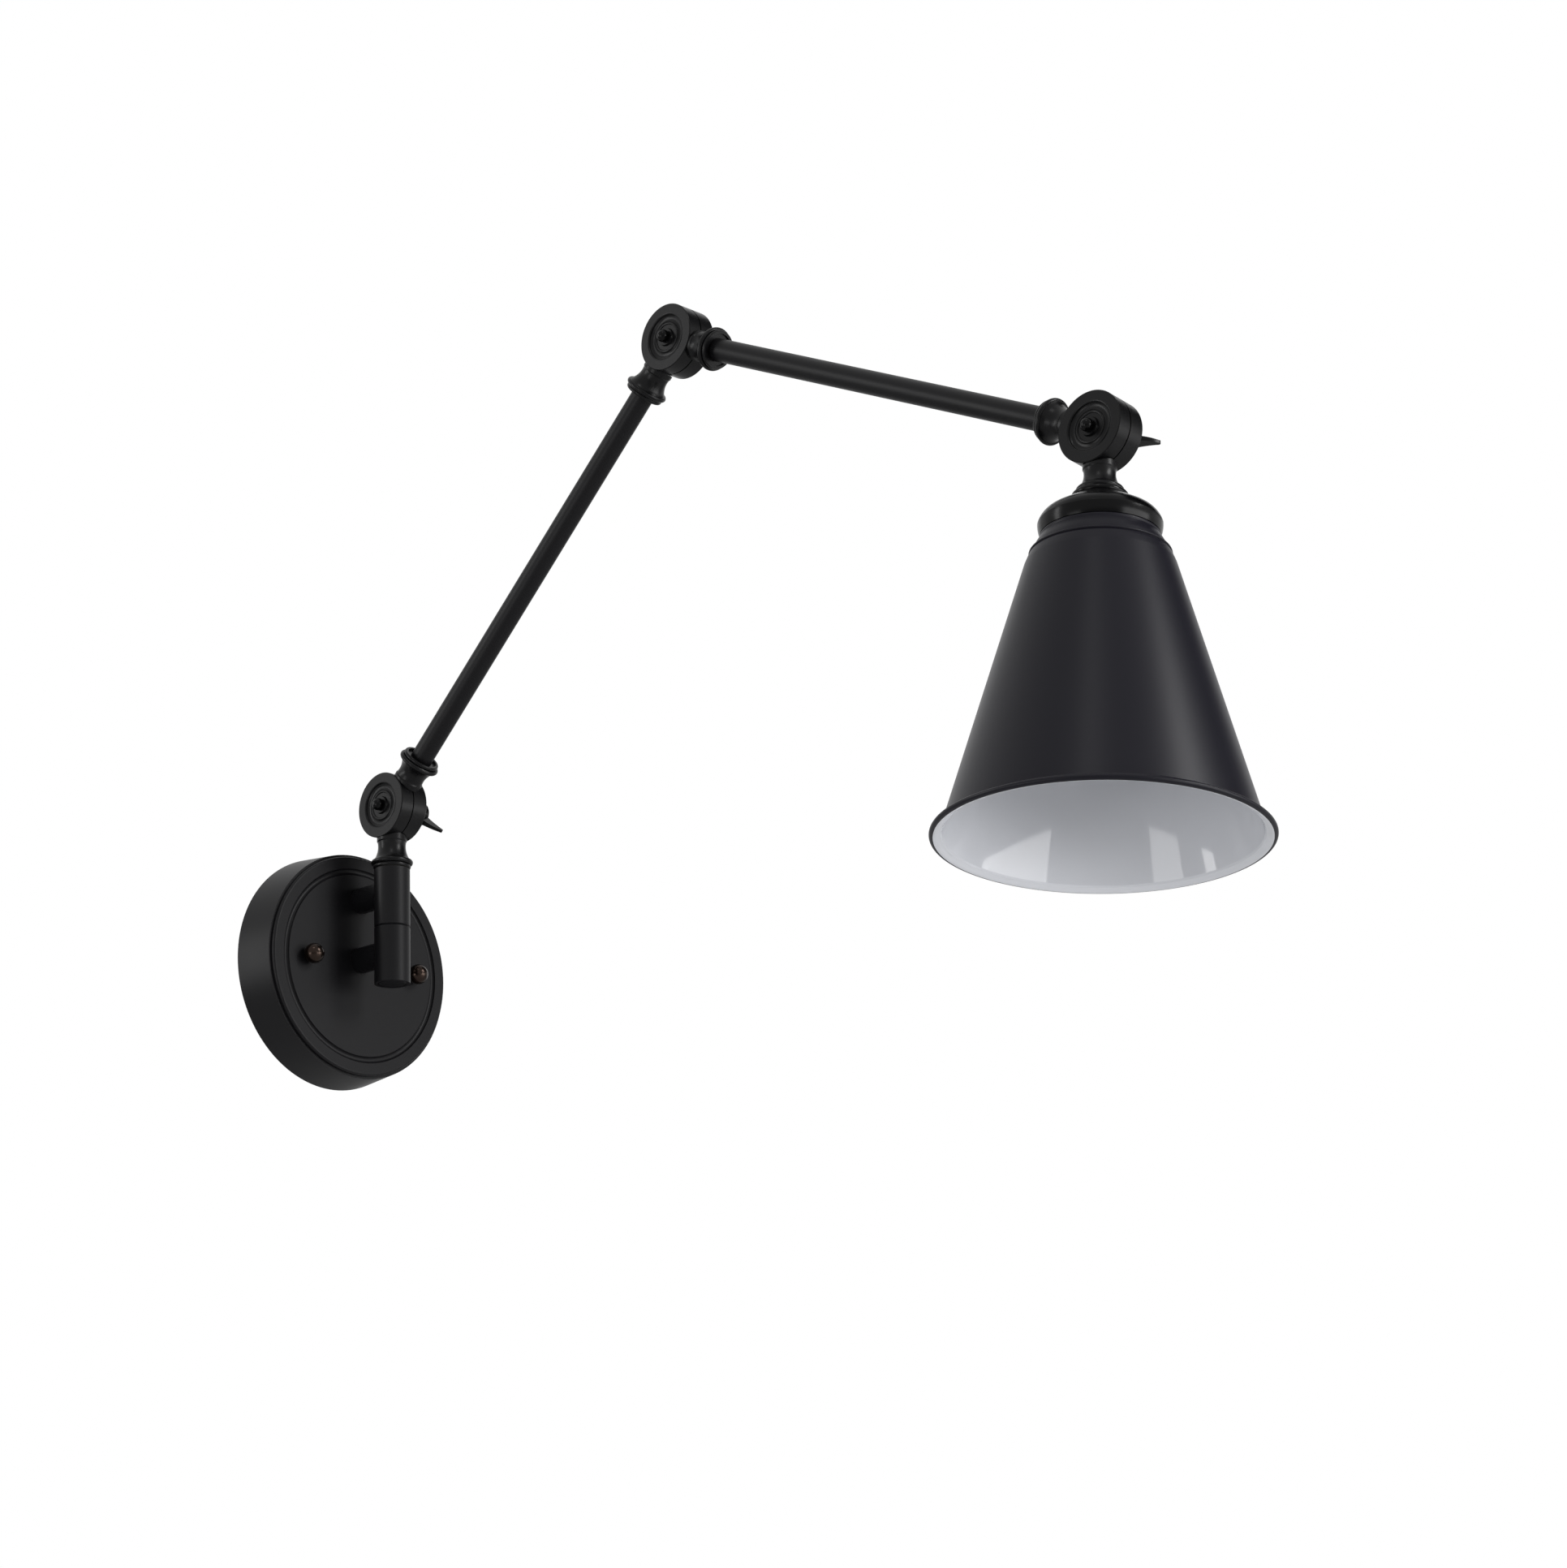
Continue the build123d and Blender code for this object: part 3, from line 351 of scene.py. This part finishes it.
floorTree.links.new(floorLift, floorShader.inputs["Emission Strength"])
side = floorTree.nodes.new("ShaderNodeNewGeometry")
clear = floorTree.nodes.new("ShaderNodeBsdfTransparent")
oneSided = floorTree.nodes.new("ShaderNodeMixShader")
floorEnd = floorTree.nodes["Material Output"]
floorTree.links.new(side.outputs["Backfacing"], oneSided.inputs["Fac"])
floorTree.links.new(floorShader.outputs["BSDF"], oneSided.inputs[1])
floorTree.links.new(clear.outputs["BSDF"], oneSided.inputs[2])
floorTree.links.new(oneSided.outputs["Shader"], floorEnd.inputs["Surface"])
floor.data.materials.append(floorMaterial)
print("floor laid")

# a white sky, as bright as paper where it is seen and softer as a light
worldValues = {"colour": (1, 1, 1, 1), "seen": 1.0, "fill": 0.45}
world = bpy.data.worlds.new("studio")
bpy.context.scene.world = world
world.use_nodes = True
worldTree = world.node_tree
seenSky = worldTree.nodes["Background"]
fillSky = worldTree.nodes.new("ShaderNodeBackground")
for sky, level in ((seenSky, "seen"), (fillSky, "fill")):
    sky.inputs["Color"].default_value = worldValues["colour"]
    sky.inputs["Strength"].default_value = worldValues[level]
rays = worldTree.nodes.new("ShaderNodeLightPath").outputs
cameraOrGlossy = addMath(worldTree, "MAXIMUM", rays["Is Camera Ray"],
                         rays["Is Glossy Ray"])["Value"]
anySeen = addMath(worldTree, "MAXIMUM", cameraOrGlossy, rays["Is Transmission Ray"])["Value"]
skyMix = worldTree.nodes.new("ShaderNodeMixShader")
worldEnd = worldTree.nodes["World Output"]
worldTree.links.new(anySeen, skyMix.inputs["Fac"])
worldTree.links.new(fillSky.outputs[0], skyMix.inputs[1])
worldTree.links.new(seenSky.outputs[0], skyMix.inputs[2])
worldTree.links.new(skyMix.outputs[0], worldEnd.inputs["Surface"])
print("sky made")


def aimAt(thing, values, axis):
    aim = Vector(values["target"]) - Vector(values["place"])
    thing.rotation_mode = "QUATERNION"
    thing.rotation_quaternion = aim.to_track_quat(axis, "Y")


# a black board beside the lamp, unseen by the camera, that keeps the right edges dark
boardValues = {
    "place": (1.80, -1.10, 1.75),
    "target": (0, -0.50, 0.05),
    "size": (2.0, 2.2),
    "colour": (0.002, 0.002, 0.002),
    "roughness": 0.9,
}
bpy.ops.mesh.primitive_plane_add(size=1, location=boardValues["place"])
board = bpy.context.object
board.name = "blackBoard"
aimAt(board, boardValues, "Z")
board.scale = (*boardValues["size"], 1)
boardMaterial = newMaterial(
    "boardCloth", boardValues["colour"], boardValues["roughness"], specular=0.0)[0]
board.data.materials.append(boardMaterial)
board.visible_camera = False
print("board set")

# each lamp: where it stands, what it faces, its size and its power
lamps = {
    "rightSoftbox": dict(place=(0.82, -3.20, -0.25), target=(0, -0.45, 0.0),
                         size=(2.9, 1.2), power=74),
    "highSoftbox": dict(place=(0.80, -2.30, 1.30), target=(0, -0.50, 0.05),
                        size=(0.6, 0.9), power=31),
    "topSoftbox": dict(place=(-1.30, -1.30, 2.20), target=(0, -0.50, 0.05),
                       size=(0.35, 0.35), power=5),
    "leftSoftbox": dict(place=(-2.46, -0.13, -0.50), target=(0, -0.50, 0.0),
                        size=(1.0, 0.7), power=12),
    "edgeSoftbox": dict(place=(-2.10, 1.50, 0.50), target=(0, -0.35, 0.1),
                        size=(0.5, 1.6), power=20),
}
for name, values in lamps.items():
    bpy.ops.object.light_add(type="AREA", location=values["place"])
    lamp = bpy.context.object
    lamp.name = name
    lamp.data.shape = "RECTANGLE"
    lamp.data.size, lamp.data.size_y = values["size"]
    lamp.data.energy = values["power"]
    aimAt(lamp, values, "-Z")
print("lamps set:", len(lamps))

# the camera, at the photo's viewing angle
cameraValues = {
    "place": (-1.3071, -1.5433, -0.5039),
    "yaw": 0.8261,
    "pitch": 0.2917,
    "roll": -0.0344,
    "lens": 87.72,
    "sensor": 36,
    "farthest": 50,
}
bpy.ops.object.camera_add()
camera = bpy.context.object
camera.name = "photoCamera"
camera.data.lens = cameraValues["lens"]
camera.data.sensor_width = cameraValues["sensor"]
camera.data.clip_end = cameraValues["farthest"]
camera.matrix_world = (
    Matrix.Translation(cameraValues["place"])
    @ Matrix.Rotation(-cameraValues["yaw"], 4, "Z")
    @ Matrix.Rotation(math.pi / 2 + cameraValues["pitch"], 4, "X")
    @ Matrix.Rotation(cameraValues["roll"], 4, "Z")
)
bpy.context.scene.camera = camera
bpy.context.scene.view_settings.view_transform = "Standard"
print("camera set")
